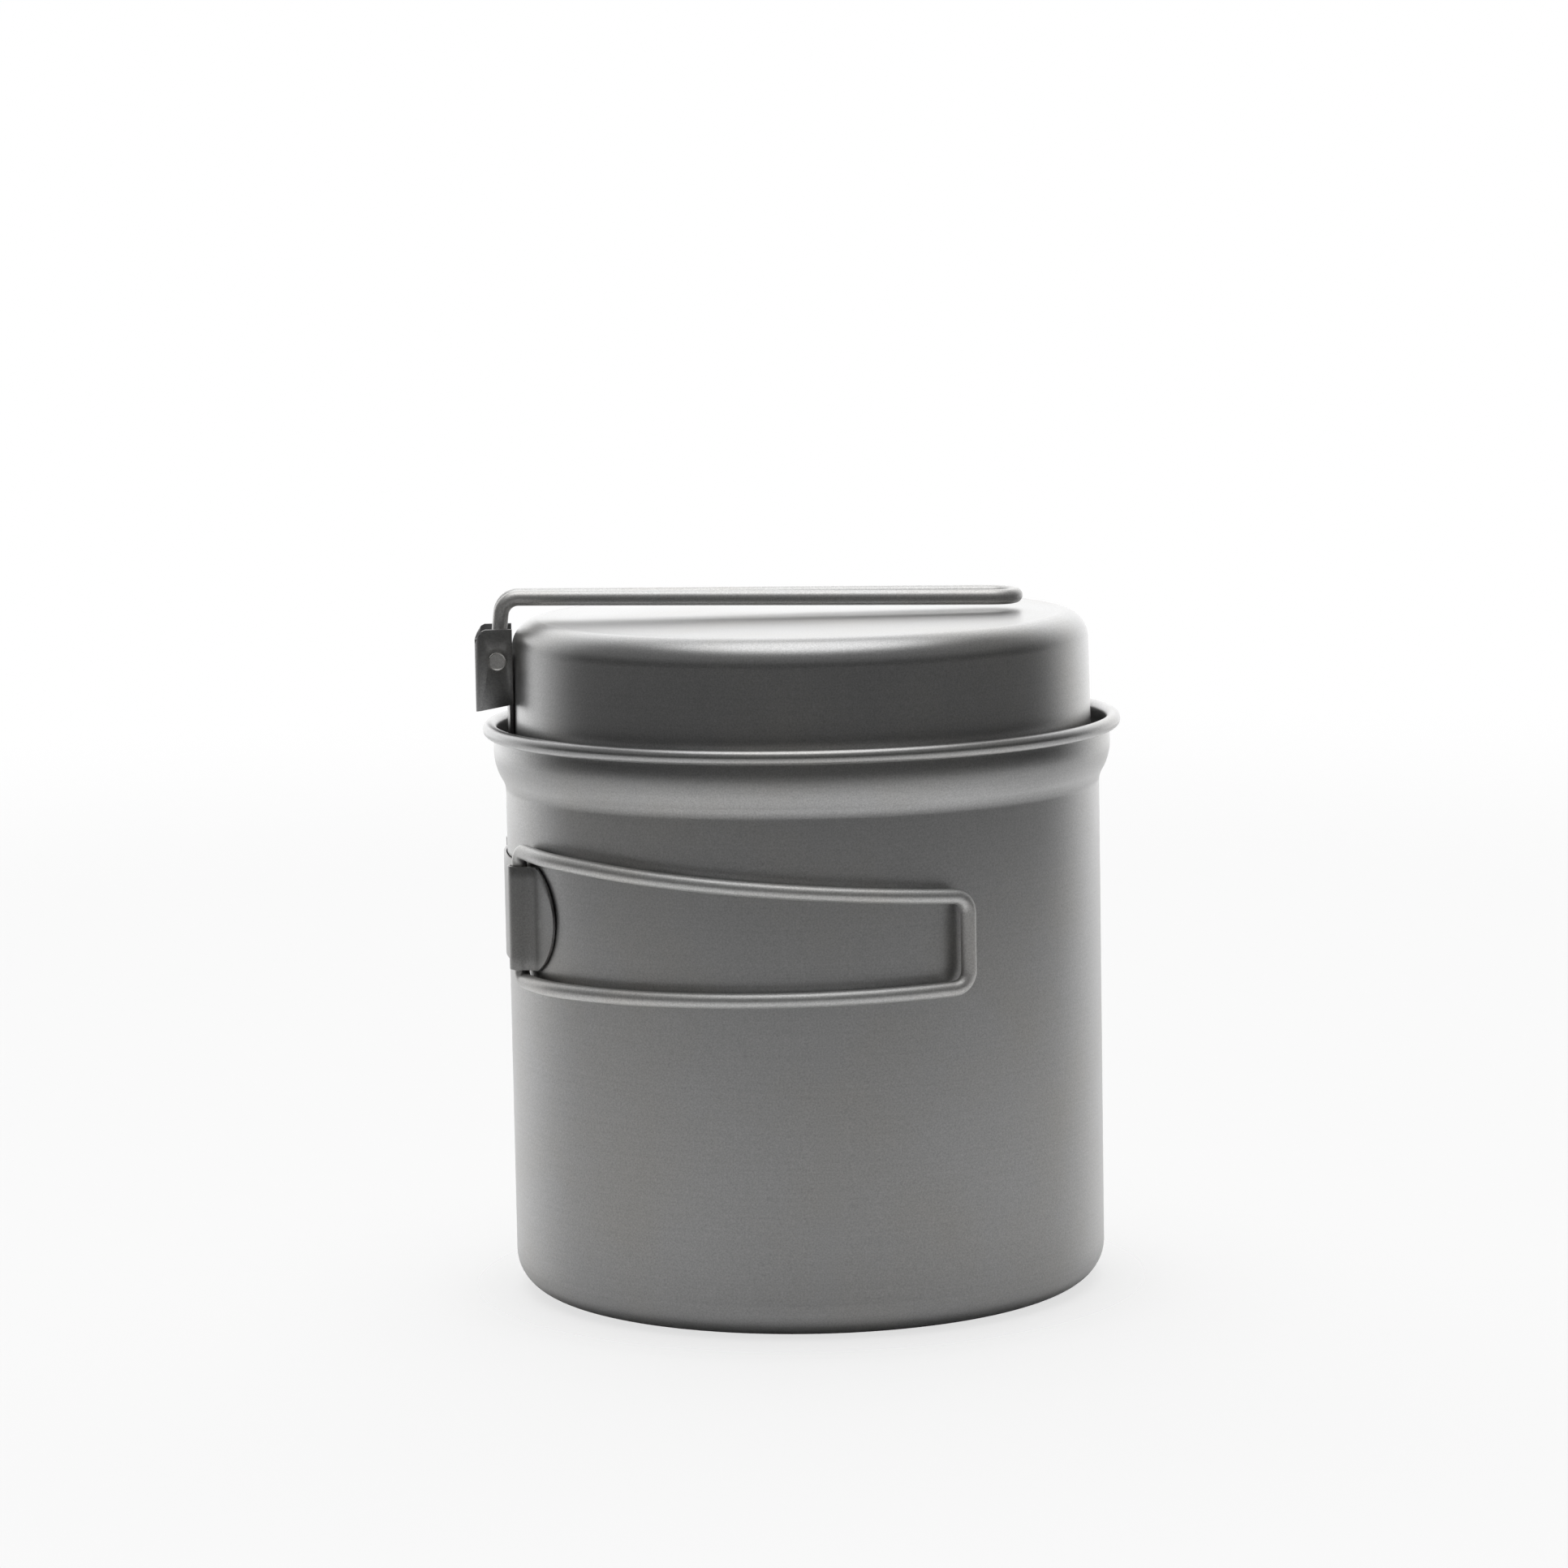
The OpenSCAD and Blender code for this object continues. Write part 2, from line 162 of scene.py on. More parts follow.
# The slanted upper corner: (inwards, up) steps from where the front face and the top would meet
SLANT = [(0, -2.8 * MM), (0.5 * MM, -1.6 * MM), (1.3 * MM, -0.35 * MM), (2 * MM, 0)]
HOLE_R = 1.6 * MM
PUNCH_H = 4 * MM
PLATE_DROP = 5 * MM             # channel's top to plate's top
PLATE_LOW = CHANNEL_BOX[0][2]
PLATE_TOP = CHANNEL_TOP - PLATE_DROP
PLATE_IN = 0.3 * MM             # how far the plate ends inside the channel's outer faces
WELD_GAP = 0.02 * MM            # pan's wall to its bracket

# Rounding of cut edges, and the turn in degrees past which an edge is a sharp one
WIRE_EDGE = 0.2 * MM
STRIP_EDGE = 0.12 * MM
CHANNEL_EDGE = 0.14 * MM
PLATE_EDGE = 0.08 * MM
SQUARE_CUT = 60
FOLDED_CUT = 50
ROUND_SHADED = 40
SHEET_SHADED = 35

# How finely the round shapes are cut
TURN_STEPS = 240
BASE_STEPS = 16
SHOULDER_STEPS = 10
NECK_STEPS = 18
CURL_STEPS = 22
BEND_STEPS = 9
RAIL_STEPS = 40
TIP_STEPS = 12
KNUCKLE_STEPS = 8
STRIP_LEVELS = 8
WING_STEPS = 14
STRIP_PLATE_STEPS = 14
PAN_PLATE_STEPS = 12
WIRE_ROUNDNESS = 8
HOLE_SIDES = 64
FLOOR_SIDES = 96

# Places closer than this are one place, and the same for planes and for angles in radians
SAME_PLACE = 0.001 * MM
SAME_PLANE = 0.01 * MM
SAME_ANGLE = 1e-5

# Finish: the beads' dimples, 0.1 mm wide but drawn wider so that they show, cloudy patches, and
# the roller's rings on a spun shell
DIMPLE_W = 0.3 * MM
DIMPLE_DEPTH = 0.02 * MM
DIMPLE_STRENGTH = 0.4
PATCH_W = 26 * MM
RING_GAP = 0.7 * MM
ROUGHNESS_SPREAD = 0.02
SPECK_DARK = 0.8                # tone of the darkest and the lightest grain
SPECK_LIGHT = 1.17
# The stretch of each noise, from 0 to 1, over which it takes effect
GRAIN_RANGE = (0.25, 0.75)
WARM_RANGE = (0.45, 0.7)
EVEN_RANGE = (0.3, 0.7)

# Camera: where it looks, how far off it stands, and its turns
CAMERA_AIM = Vector((-3.56 * MM, 0.2 * MM, 96.36 * MM))
CAMERA_FAR = 985.3 * MM
CAMERA_SWING = math.radians(3.3)
CAMERA_DOWN = math.radians(6.997)
CAMERA_ROLL = math.radians(-1.048)
LENS = 117.53                   # millimetres, as is the sensor's width
SENSOR = 36

# Floor, in metres from its middle. It is solid under the pot, thinner past the contact shade,
# and gone at its end. The camera sees less of it than the pot's metal does.
CONTACT_FROM = 0.05
CONTACT_TO = 0.08
FLOOR_FADE = 0.36
FLOOR_END = 0.85
FLOOR_BACK = 0.2                # how far behind the pot the middle of the fade lies
FLOOR_BODY = 0.72               # how solid the floor is past the contact shade
FLOOR_SEEN = 0.3                # how much of that the camera sees

# Light from the room: the axis of the direction it comes from, where on that axis it starts
# and is full, and its strength before and after
ROOM = [
    ("Y", 0.25, 1.0, 0.055, 1.75),      # white wall behind the pot, dim room in front of it
    ("Z", 0.82, 0.97, 0.0, 2.0),        # wide ceiling light
    ("Z", 0.0, -0.2, 0.0, 0.1),         # table top
    ("Z", -0.4, -0.9, 0.0, 1.2),        # its bright middle, straight below
    ("Z", 0.15, 0.5, 0.0, 0.17),        # upper part of the walls
]


# ---- outlines and paths ---------------------------------------------------------------------

def arc(centre, radius, start, end, steps):
    """Points of an arc in a plane, with its angles in degrees."""
    points = []
    for i in range(steps + 1):
        angle = math.radians(start + (end - start) * i / steps)
        points.append((centre[0] + radius * math.cos(angle), centre[1] + radius * math.sin(angle)))
    return points


def curl(radius, height, bead, side):
    """The rolled edge that carries on a wall at this radius and turns outwards; side is 1 for up."""
    inner = bead - SHEET
    return arc((radius + inner, height), inner, 180, 180 - side * CURL_TURN, CURL_STEPS)


def rounded(path):
    """Replaces each corner of a path of (point, bend radius) pairs by an arc."""
    points = [path[0][0]]
    for (before, _), (corner, radius), (after, _) in zip(path, path[1:], path[2:]):
        if radius == 0:
            points.append(corner)
            continue
        back = (before - corner).normalized()
        ahead = (after - corner).normalized()
        turn = math.pi - back.angle(ahead)
        cut = radius * math.tan(turn / 2)
        centre = corner + (back + ahead).normalized() * radius / math.cos(turn / 2)
        start = (corner + back * cut - centre).normalized()
        side = corner + ahead * cut - centre
        across = (side - start * side.dot(start)).normalized()
        for i in range(BEND_STEPS + 1):
            angle = turn * i / BEND_STEPS
            points.append(centre + (start * math.cos(angle) + across * math.sin(angle)) * radius)
    points.append(path[-1][0])
    return points


def on_wall(run, height, stand):
    """A point this far along the wall from the brackets' middle line, and this far off it."""
    angle = run / WALL_R
    radius = WALL_R + stand
    return Vector((-radius * math.cos(angle), -radius * math.sin(angle), height))


# ---- modelling by hand ----------------------------------------------------------------------

def drawn_line(name, points):
    """A piece's first line: one point, extruded from place to place."""
    bpy.ops.object.select_all(action="DESELECT")
    bpy.ops.mesh.primitive_plane_add(size=MM)
    piece = bpy.context.object
    piece.name = name
    bpy.ops.object.mode_set(mode="EDIT")
    bpy.ops.mesh.select_mode(type="VERT")
    bpy.ops.mesh.merge(type="CENTER")
    bpy.ops.transform.translate(value=points[0])
    for here, there in zip(points, points[1:]):
        bpy.ops.mesh.extrude_region_move(TRANSFORM_OT_translate={"value": Vector(there) - Vector(here)})
    bpy.ops.object.mode_set(mode="OBJECT")
    return piece


def select_only(piece):
    """Makes the piece the only selected object, and the active one."""
    bpy.ops.object.select_all(action="DESELECT")
    piece.select_set(True)
    bpy.context.view_layer.objects.active = piece


def modified(piece, kind, **settings):
    """Adds one modifier to the piece, sets it and applies it."""
    select_only(piece)
    bpy.ops.object.modifier_add(type=kind)
    modifier = piece.modifiers[-1]
    for key, value in settings.items():
        setattr(modifier, key, value)
    bpy.ops.object.modifier_apply(modifier=modifier.name)


def thickened(piece, thickness):
    """Gives a sheet its thickness, inwards from the side it faces."""
    modified(piece, "SOLIDIFY", thickness=thickness, offset=-1, use_even_offset=True)


def edged(piece, width, degrees):
    """Rounds the edges that turn by more than this."""
    modified(piece, "BEVEL", width=width, segments=2, limit_method="ANGLE", angle_limit=math.radians(degrees))


def smoothed(piece, degrees):
    """Shades the piece as smooth but for the edges that turn by more than this."""
    select_only(piece)
    bpy.ops.object.shade_smooth_by_angle(angle=math.radians(degrees))


def pick(piece, kind, test):
    """Selects the vertices or polygons that pass the test, and stays in edit mode."""
    bpy.ops.object.mode_set(mode="EDIT")
    bpy.ops.mesh.select_mode(type="VERT" if kind == "vertices" else "FACE")
    bpy.ops.mesh.select_all(action="DESELECT")
    bpy.ops.object.mode_set(mode="OBJECT")
    for item in getattr(piece.data, kind):
        item.select = test(item)
    bpy.ops.object.mode_set(mode="EDIT")


def face_out(piece, outward):
    """Flips the sheet if its faces point away from the direction that outward gives for each."""
    total = sum(face.area * face.normal.dot(outward(face).normalized()) for face in piece.data.polygons)
    if total < 0:
        select_only(piece)
        bpy.ops.object.mode_set(mode="EDIT")
        bpy.ops.mesh.select_all(action="SELECT")
        bpy.ops.mesh.flip_normals()
        bpy.ops.object.mode_set(mode="OBJECT")


def spun_sheet(name, outline):
    """A shell of revolution: its outside line is spun round the axis, then given its thickness."""
    piece = drawn_line(name, [(r, 0, z) for r, z in outline])
    bpy.ops.object.mode_set(mode="EDIT")
    bpy.ops.mesh.select_all(action="SELECT")
    bpy.ops.mesh.spin(steps=TURN_STEPS, angle=2 * math.pi, center=(0, 0, 0), axis=(0, 0, 1))
    bpy.ops.mesh.select_all(action="SELECT")
    bpy.ops.mesh.remove_doubles(threshold=SAME_PLACE)
    bpy.ops.mesh.normals_make_consistent(inside=False)
    bpy.ops.object.mode_set(mode="OBJECT")
    face_out(piece, lambda face: face.center - SHELL_MIDDLE)
    thickened(piece, SHEET)
    smoothed(piece, ROUND_SHADED)
    return piece


def bent_wire(name, points):
    """A round wire along the points."""
    piece = drawn_line(name, points)
    select_only(piece)
    bpy.ops.object.convert(target="CURVE")
    piece = bpy.context.object
    piece.data.bevel_depth = WIRE_R
    piece.data.bevel_resolution = WIRE_ROUNDNESS
    piece.data.use_fill_caps = True
    bpy.ops.object.convert(target="MESH")
    piece = bpy.context.object
    bpy.ops.object.mode_set(mode="EDIT")
    bpy.ops.mesh.select_all(action="SELECT")
    bpy.ops.mesh.remove_doubles(threshold=SAME_PLACE)
    bpy.ops.mesh.normals_make_consistent(inside=False)
    bpy.ops.object.mode_set(mode="OBJECT")
    return piece


def folded_sheet(name, section, low, high, levels):
    """A sheet standing on its section line, from low to high."""
    piece = drawn_line(name, [(x, y, low) for x, y in section])
    bpy.ops.object.mode_set(mode="EDIT")
    bpy.ops.mesh.select_all(action="SELECT")
    rise = (high - low) / levels
    for _ in range(levels):
        bpy.ops.mesh.extrude_region_move(TRANSFORM_OT_translate={"value": (0, 0, rise)})
    bpy.ops.mesh.select_all(action="SELECT")
    bpy.ops.mesh.normals_make_consistent(inside=False)
    bpy.ops.object.mode_set(mode="OBJECT")
    return piece


def mirrored(piece):
    """A copy of the piece on the other side of the brackets' middle plane."""
    select_only(piece)
    bpy.ops.object.duplicate()
    copy = bpy.context.object
    bpy.ops.object.mode_set(mode="EDIT")
    bpy.ops.mesh.select_all(action="SELECT")
    bpy.ops.transform.resize(value=(1, -1, 1), center_override=(0, 0, 0))
    bpy.ops.mesh.flip_normals()
    bpy.ops.object.mode_set(mode="OBJECT")
    return copy


# ---- shells ---------------------------------------------------------------------------------

def pot_shell():
    """Base, wall, hollow bend, round shoulder, and a neck that draws in below its bead."""
    # The hollow bend runs straight into the wide one: both is the sum of their radii, and slope is
    # how far each turns. The wide bend goes on past the neck's widest place by lean.
    both = (SHOULDER_H ** 2 + NECK_STEP ** 2) / (2 * NECK_STEP)
    wide = both - SHOULDER_R
    slope = math.degrees(math.asin(SHOULDER_H / both))
    lean = math.degrees(math.acos(1 - NECK_IN / wide))
    outline = [(0, 0)]
    outline += arc((WALL_R - BASE_ROUND, BASE_ROUND), BASE_ROUND, -90, 0, BASE_STEPS)
    outline += arc((WALL_R + SHOULDER_R, NECK_Z - SHOULDER_H), SHOULDER_R, 180, 180 - slope, SHOULDER_STEPS)
    outline += arc((WALL_R + NECK_STEP - wide, NECK_Z), wide, -slope, lean, NECK_STEPS)[1:]
    outline += curl(WALL_R + NECK_STEP - NECK_IN, RIM_Z - BEAD_R, BEAD_R, 1)
    return spun_sheet("pot_shell", outline)


def pan_shell():
    """The upturned base with a faint crease round it, the corner, the wall and the bead."""
    corner_r = PAN_R - PAN_TAPER - PAN_ROUND
    outline = [(0, PAN_TOP), (corner_r - 2 * CREASE_W, PAN_TOP), (corner_r - CREASE_W, PAN_TOP - CREASE_D)]
    outline += arc((corner_r, PAN_TOP - PAN_ROUND), PAN_ROUND, 90, 0, BASE_STEPS)
    outline += curl(PAN_R, PAN_RIM_Z + PAN_BEAD_R, PAN_BEAD_R, -1)
    return spun_sheet("pan_shell", outline)


# ---- handles and bracket of the pot ---------------------------------------------------------

def run_stand(run):
    """How far the handle's middle line stands off the wall after this run from its hinge."""
    near = HINGE_GAP + WIRE_R
    far = LOOP_GAP + WIRE_R
    share = min(max(run / LOOP_RUN / LIFT_SHARE, 0), 1)
    return near + (far - near) * (1 - math.cos(math.pi * share)) / 2


def upper_rail(share):
    """Height of the upper rail, which starts level and then falls evenly."""
    drop = (UPPER_NEAR - UPPER_FAR) / (1 - FALL_SHARE / 2)
    if share < FALL_SHARE:
        return UPPER_NEAR - drop * share * share / 2 / FALL_SHARE
    return UPPER_NEAR - drop * (share - FALL_SHARE / 2)


def lower_rail(share):
    """Height of the lower rail, which rises evenly."""
    return LOWER_NEAR + (LOWER_FAR - LOWER_NEAR) * share


def pot_handle(name, side):
    """A wire handle folded along the wall; side is -1 for the front one, 1 for the rear one."""
    edge = BEND_ROOM / LOOP_RUN
    shares = [edge + (1 - 2 * edge) * i / RAIL_STEPS for i in range(RAIL_STEPS + 1)]
    corners = [((0, KNUCKLE_HIGH - PIN_IN), 0), ((0, UPPER_NEAR), BEND_TOP)]
    corners += [((share * LOOP_RUN, upper_rail(share)), 0) for share in shares]
    corners += [((LOOP_RUN, UPPER_FAR), BEND_BAR), ((LOOP_RUN, LOWER_FAR), BEND_BAR)]
    corners += [((share * LOOP_RUN, lower_rail(share)), 0) for share in reversed(shares)]
    corners += [((0, LOWER_NEAR), BEND_LOW), ((0, KNUCKLE_LOW + PIN_IN), 0)]
    flat = rounded([(Vector(point), radius) for point, radius in corners])
    points = []
    for run, height in flat:
        angle = HINGE_ANGLE + run / LOOP_R
        radius = WALL_R + run_stand(run)
        points.append((-radius * math.cos(angle), side * radius * math.sin(angle), height))
    piece = bent_wire(name, points)
    edged(piece, WIRE_EDGE, SQUARE_CUT)
    smoothed(piece, ROUND_SHADED)
    return piece


def knuckle_line():
    """Half of a knuckle's outside line, flat: run from the hinge, and height over the wall."""
    stand = HINGE_GAP + WIRE_R
    lift = BRACKET_SHEET + SWEEP_R
    lean = math.degrees(math.atan2(SWEEP_LIFT, SWEEP_REACH))
    over = arc((0, stand), KNUCKLE_R, 90, lean, KNUCKLE_STEPS)
    return over + arc((SWEEP_REACH, lift), SWEEP_R, 180 + lean, 270, KNUCKLE_STEPS)


def wing_line():
    """Lines across a wing: the run from the brackets' middle line, and half the wing's height."""
    middle = HINGE_ANGLE * WALL_R + SWEEP_REACH + WING_W - WING_ROUND
    start = math.asin((WING_ROUND - WING_W) / WING_ROUND)
    turns = [start + (WING_LAST - start) * i / WING_STEPS for i in range(1, WING_STEPS + 1)]
    return [(middle + WING_ROUND * math.sin(turn), WING_ROUND * math.cos(turn)) for turn in turns]


def pot_bracket():
    """One strip of sheet over both hinges: plate, two knuckles and two D-shaped wings."""
    hinge_run = HINGE_ANGLE * WALL_R
    knuckle = knuckle_line()
    wing = wing_line()
    inward = [(hinge_run - run, stand) for run, stand in reversed(knuckle[1:])]
    outward = [(hinge_run + run, stand) for run, stand in knuckle]
    plate_end = inward[0][0]
    plate = [(plate_end * i / STRIP_PLATE_STEPS, BRACKET_SHEET) for i in range(1, STRIP_PLATE_STEPS)]
    half = plate + inward + outward + [(run, BRACKET_SHEET) for run, _ in wing]
    whole = [(-run, stand) for run, stand in reversed(half)] + [(0, BRACKET_SHEET)] + half
    section = [on_wall(run, 0, stand)[:2] for run, stand in whole]
    piece = folded_sheet("pot_handle_strip", section, KNUCKLE_LOW, KNUCKLE_HIGH, STRIP_LEVELS)
    middle = (KNUCKLE_LOW + KNUCKLE_HIGH) / 2
    half_height = (KNUCKLE_HIGH - KNUCKLE_LOW) / 2
    for run, wing_height in wing:
        angle = run / WALL_R
        pick(piece, "vertices", lambda v: abs(math.atan2(abs(v.co.y), -v.co.x) - angle) < SAME_ANGLE)
        squeeze = min(wing_height / half_height, 1)
        bpy.ops.transform.resize(value=(1, 1, squeeze), center_override=(0, 0, middle))
    bpy.ops.object.mode_set(mode="OBJECT")
    face_out(piece, lambda face: Vector((face.center.x, face.center.y, 0)))
    thickened(piece, STRIP_SHEET)
    edged(piece, STRIP_EDGE, SQUARE_CUT)
    smoothed(piece, SHEET_SHADED)
    return piece


# ---- handle and bracket of the pan ----------------------------------------------------------

def pan_handle():
    """A narrow wire loop with two legs, whose ends turn outwards through the channel's sides."""
    corner_x = PAN_PIN.x + (PAN_LOOP_Z - PAN_PIN.z) * math.tan(LEG_LEAN)
    tip_x = PAN_LOOP_REACH - PAN_LOOP_WIDE

    def over_base(x, y):
        return Vector((x, y, PAN_LOOP_Z - (x - corner_x) * math.tan(LOOP_FALL)))

    half = [(Vector((PAN_PIN.x, -CHANNEL_HALF - PIN_OUT, PAN_PIN.z)), 0),
            (Vector((PAN_PIN.x, -PAN_LOOP_NARROW, PAN_PIN.z)), BEND_PIN),
            (Vector((corner_x, -PAN_LOOP_NARROW, PAN_LOOP_Z)), BEND_LEG)]
    for i in range(2, RAIL_STEPS):
        share = i / RAIL_STEPS
        spread = PAN_LOOP_NARROW + (PAN_LOOP_WIDE - PAN_LOOP_NARROW) * share * share * (3 - 2 * share)
        half.append((over_base(corner_x + share * (tip_x - corner_x), -spread), 0))
    for x, y in arc((tip_x, 0), PAN_LOOP_WIDE, -90, 0, TIP_STEPS)[:-1]:
        half.append((over_base(x, y), 0))
    other = [(Vector((p.x, -p.y, p.z)), radius) for p, radius in reversed(half)]
    piece = bent_wire("pan_wire_handle", rounded(half + [(over_base(PAN_LOOP_REACH, 0), 0)] + other))
    sheared_ends(piece)
    smoothed(piece, ROUND_SHADED)
    return piece


def sheared_ends(piece):
    """Each pin end is upset by the shears: a raised burr round a slightly sunken face."""
    tip = CHANNEL_HALF + PIN_OUT
    for side in (-1, 1):
        middle = (PAN_PIN.x, side * tip, PAN_PIN.z)
        pick(piece, "polygons", lambda face: face.center.y * side > tip - SAME_PLANE)
        bpy.ops.transform.resize(value=(BURR, 1, BURR), center_override=middle)
        bpy.ops.mesh.inset(thickness=BURR_W)
        bpy.ops.transform.translate(value=(0, -side * BURR_D, 0))
    bpy.ops.object.mode_set(mode="OBJECT")


def channel_side():
    """The near half of the channel: a lip, its bend pressed nearly flat, and a side up to the wall."""
    section = [(-CHANNEL_FRONT, -CHANNEL_HALF + LIP)]
    section += [(x - CHANNEL_FRONT, y - CHANNEL_HALF) for x, y in LIP_BEND]
    section.append((-math.sqrt((PAN_R + WELD_GAP) ** 2 - CHANNEL_HALF ** 2), -CHANNEL_HALF))
    piece = folded_sheet("pan_handle_channel", section, CHANNEL_LOW, CHANNEL_TOP, 1)
    trim(piece, (0, -CHANNEL_H), (1, -CHANNEL_H + math.tan(CHANNEL_RISE)))
    for upper, lower in zip(SLANT[1:], SLANT):
        trim(piece, upper, lower)
    face_out(piece, lambda face: Vector((0, -1, 0)))
    thickened(piece, BRACKET_SHEET)
    pierce(piece)
    edged(piece, CHANNEL_EDGE, FOLDED_CUT)
    return piece


def trim(piece, start, end):
    """Cuts away what lies beyond a line; its ends are (inwards, up) from the upper front corner."""
    across = Vector((end[1] - start[1], 0, start[0] - end[0])).normalized()
    select_only(piece)
    bpy.ops.object.mode_set(mode="EDIT")
    bpy.ops.mesh.select_all(action="SELECT")
    bpy.ops.mesh.bisect(plane_co=(start[0] - CHANNEL_FRONT, 0, start[1] + CHANNEL_TOP),
                        plane_no=across, clear_outer=True)
    bpy.ops.object.mode_set(mode="OBJECT")


def pierce(piece):
    """Punches the hole for the handle's wire end."""
    bpy.ops.mesh.primitive_cylinder_add(
        vertices=HOLE_SIDES, radius=HOLE_R, depth=PUNCH_H, rotation=(math.pi / 2, 0, 0),
        location=(PAN_PIN.x, -CHANNEL_HALF, PAN_PIN.z))
    punch = bpy.context.object
    modified(piece, "BOOLEAN", operation="DIFFERENCE", solver="EXACT", object=punch)
    bpy.data.objects.remove(punch)


def pan_bracket():
    """A lipped channel of folded sheet on a plate that follows the pan's wall down into the pot."""
    near = channel_side()
    far = mirrored(near)
    sweep = math.degrees(math.asin((CHANNEL_HALF - PLATE_IN) / PAN_R))
    section = arc((0, 0), PAN_R + WELD_GAP, 180 + sweep, 180 - sweep, PAN_PLATE_STEPS)
    plate = folded_sheet("pan_plate", section, PLATE_LOW, PLATE_TOP, 1)
    face_out(plate, lambda face: Vector((1, 0, 0)))
    thickened(plate, BRACKET_SHEET)
    edged(plate, PLATE_EDGE, FOLDED_CUT)
    select_only(near)
    far.select_set(True)
    plate.select_set(True)
    bpy.ops.object.join()
    smoothed(near, SHEET_SHADED)
    return near


# ---- materials ------------------------------------------------------------------------------

def linear(colour):
    """An sRGB hex colour as linear RGBA."""
    channels = [int(colour[i:i + 2], 16) / 255 for i in (1, 3, 5)]
    return [c / 12.92 if c <= 0.04045 else ((c + 0.055) / 1.055) ** 2.4 for c in channels] + [1]


def add(tree, kind, inputs=None, **settings):
    """Adds one node with its settings, and sets or links its inputs."""
    node = tree.nodes.new(kind)
    for key, value in settings.items():
        setattr(node, key, value)
    for key, value in (inputs or {}).items():
        if isinstance(value, bpy.types.NodeSocket):
            tree.links.new(value, node.inputs[key])
        else:
            node.inputs[key].default_value = value
    return node


def weld_mark(tree, where):
    """How much lighter the metal is at the faint electrode mark on each wing of the pot's bracket."""
    either_side = add(tree, "ShaderNodeVectorMath", {0: where}, operation="ABSOLUTE").outputs["Vector"]
    spot = on_wall(HINGE_ANGLE * WALL_R + SWEEP_REACH + WELD_RUN, WELD_Z, BRACKET_SHEET)
    away = add(tree, "ShaderNodeVectorMath", {0: either_side, 1: (-spot.x, -spot.y, spot.z)},
               operation="DISTANCE").outputs["Value"]
    return add(tree, "ShaderNodeMapRange",
               {"Value": away, "From Min": WELD_R, "From Max": WELD_END, "To Min": WELD_TONE, "To Max": 1.0},
               interpolation_type="SMOOTHSTEP").outputs["Result"]


def blasted_titanium(name, tone, warm_tone, roughness, rings=0.0, welded=False):
    """Pure titanium, spun, folded or drawn to wire, then bead-blasted.

    To the eye it is a dull grey metal, slightly warmer in patches, with the fine grain of the
    beads' dimples. A roller leaves faint rings on a spun shell: rings is how far their tone strays.
    """
    material = bpy.data.materials.new(name)
    material.use_nodes = True
    tree = material.node_tree
    shader = tree.nodes["Principled BSDF"]
    shader.inputs["Metallic"].default_value = 1
    where = add(tree, "ShaderNodeTexCoord").outputs["Object"]
    grain = add(tree, "ShaderNodeTexNoise",
                {"Vector": where, "Scale": 1 / DIMPLE_W, "Detail": 2, "Roughness": 0.6}).outputs["Fac"]
    patches = add(tree, "ShaderNodeTexNoise",
                  {"Vector": where, "Scale": 1 / PATCH_W, "Detail": 3, "Roughness": 0.55}).outputs["Fac"]

    # A ring's place is the radius less the height, so that walls and bases both carry rings
    parts = add(tree, "ShaderNodeSeparateXYZ", {"Vector": where})
    flat = add(tree, "ShaderNodeCombineXYZ", {"X": parts.outputs["X"], "Y": parts.outputs["Y"]})
    radius = add(tree, "ShaderNodeVectorMath", {0: flat.outputs["Vector"]}, operation="LENGTH")
    along = add(tree, "ShaderNodeMath", {0: radius.outputs["Value"], 1: parts.outputs["Z"]},
                operation="SUBTRACT")
    roller = add(tree, "ShaderNodeTexNoise",
                 {"W": along.outputs["Value"], "Scale": 1 / RING_GAP, "Detail": 3},
                 noise_dimensions="1D").outputs["Fac"]

    # Colour: the two tones, patch by patch, shaded by grain, rings and weld marks
    warmth = add(tree, "ShaderNodeMapRange",
                 {"Value": patches, "From Min": WARM_RANGE[0], "From Max": WARM_RANGE[1]}).outputs["Result"]
    colour = add(tree, "ShaderNodeMix", {0: warmth, 6: linear(tone), 7: linear(warm_tone)}, data_type="RGBA")
    speck = add(tree, "ShaderNodeMapRange",
                {"Value": grain, "From Min": GRAIN_RANGE[0], "From Max": GRAIN_RANGE[1],
                 "To Min": SPECK_DARK, "To Max": SPECK_LIGHT})
    ring = add(tree, "ShaderNodeMapRange",
               {"Value": roller, "From Min": EVEN_RANGE[0], "From Max": EVEN_RANGE[1],
                "To Min": 1 - rings, "To Max": 1 + rings})
    shade = add(tree, "ShaderNodeMath", {0: speck.outputs["Result"], 1: ring.outputs["Result"]},
                operation="MULTIPLY").outputs["Value"]
    if welded:
        shade = add(tree, "ShaderNodeMath", {0: shade, 1: weld_mark(tree, where)},
                    operation="MULTIPLY").outputs["Value"]
    lit = add(tree, "ShaderNodeVectorMath", {0: colour.outputs[2], "Scale": shade}, operation="SCALE")
    tree.links.new(lit.outputs["Vector"], shader.inputs["Base Color"])

    rough = add(tree, "ShaderNodeMapRange",
                {"Value": patches, "From Min": EVEN_RANGE[0], "From Max": EVEN_RANGE[1],
                 "To Min": roughness - ROUGHNESS_SPREAD, "To Max": roughness + ROUGHNESS_SPREAD})
    tree.links.new(rough.outputs["Result"], shader.inputs["Roughness"])
    dimples = add(tree, "ShaderNodeBump",
                  {"Height": grain, "Strength": DIMPLE_STRENGTH, "Distance": DIMPLE_DEPTH})
    tree.links.new(dimples.outputs["Normal"], shader.inputs["Normal"])
    return material


# ---- stage ----------------------------------------------------------------------------------

